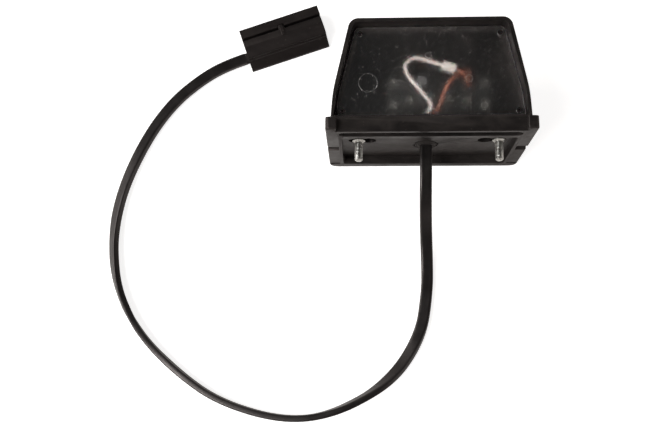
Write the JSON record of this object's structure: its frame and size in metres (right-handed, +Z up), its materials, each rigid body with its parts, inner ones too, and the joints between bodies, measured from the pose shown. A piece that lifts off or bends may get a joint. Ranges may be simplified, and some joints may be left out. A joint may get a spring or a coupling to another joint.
{
  "type": "number plate lamp",
  "caption": "Boxy black plate lamp with a tilted smoked lens, captive mounting studs behind a rim, and a flat lead looping to a clip-on cable connector with a hinged lid.",
  "frame": {"origin": "middle of the underside of the lamp itself, lead left out, on the surface that the lamp lies on", "axes": "+X along the width of the lamp, to the right seen from the studs; +Y away from the mounting rim, along the lamp body; +Z up, out of the lens"},
  "size_m": [0.2647, 0.2728, 0.0824],
  "materials": {
    "black_plastic": "moulded black plastic, fine satin grain, slightly shiny on its edges",
    "smoked_lens": "smoked clear plastic, faintly frosted and dusty",
    "black_rubber": "soft black rubber, matt",
    "cable_sheath": "smooth black cable sheath with a soft sheen",
    "zinc_steel": "zinc-plated steel, bright with a slight blue tint",
    "white_insulation": "smooth white wire insulation",
    "red_brown_insulation": "smooth red-brown wire insulation",
    "white_nylon": "white nylon, satin",
    "board_laminate": "black solder mask over glass laminate",
    "led_package": "pale package with a clear dome",
    "chip_ceramic": "dark ceramic chip with tinned ends",
    "capacitor_can": "drawn aluminium can",
    "connector_plastic": "dark grey-black moulded plastic, dull",
    "contact_brass": "tinned brass"
  },
  "bodies": {
    "root": {"housing": "black_plastic", "lens": "smoked_lens", "lens_seal": "black_rubber", "lens_pins": "black_plastic", "cable_grommet": "black_rubber", "cable_tail": "cable_sheath", "cable_clamp": "black_plastic", "clamp_screws": "zinc_steel", "flat_cable": "cable_sheath", "cable_end": "cable_sheath", "white_wire": "white_insulation", "red_wire": "red_brown_insulation", "board_lead": "red_brown_insulation", "splice_sleeve": "white_nylon", "circuit_board": "board_laminate", "leds": "led_package", "resistors": "chip_ceramic", "protection_diode": "chip_ceramic", "smoothing_capacitor": "capacitor_can", "terminal_block": "black_plastic", "board_screws": "zinc_steel", "vent_plug": "black_rubber", "connector_body": "connector_plastic", "lid_hinge_pin": "connector_plastic", "contact_blade_1": "contact_brass", "contact_blade_2": "contact_brass"},
    "left_stud": {"stud_left": "zinc_steel", "washer_left": "zinc_steel"},
    "right_stud": {"stud_right": "zinc_steel", "washer_right": "zinc_steel"},
    "lid": {"connector_lid": "connector_plastic"}
  },
  "joints": [
    {"name": "left_stud_slide", "type": "slide", "parent": "root", "child": "left_stud", "axis": [1, 0, 0], "range_m": [-0.0035, 0.0019]},
    {"name": "right_stud_slide", "type": "slide", "parent": "root", "child": "right_stud", "axis": [1, 0, 0], "range_m": [-0.0039, 0.0015]},
    {"name": "lid_hinge", "type": "hinge", "parent": "root", "child": "lid", "pos_m": [-0.08936, 0.05187, 0.0104], "axis": [0.9455, 0.3256, 0], "range_deg": [0, 110]}
  ]
}
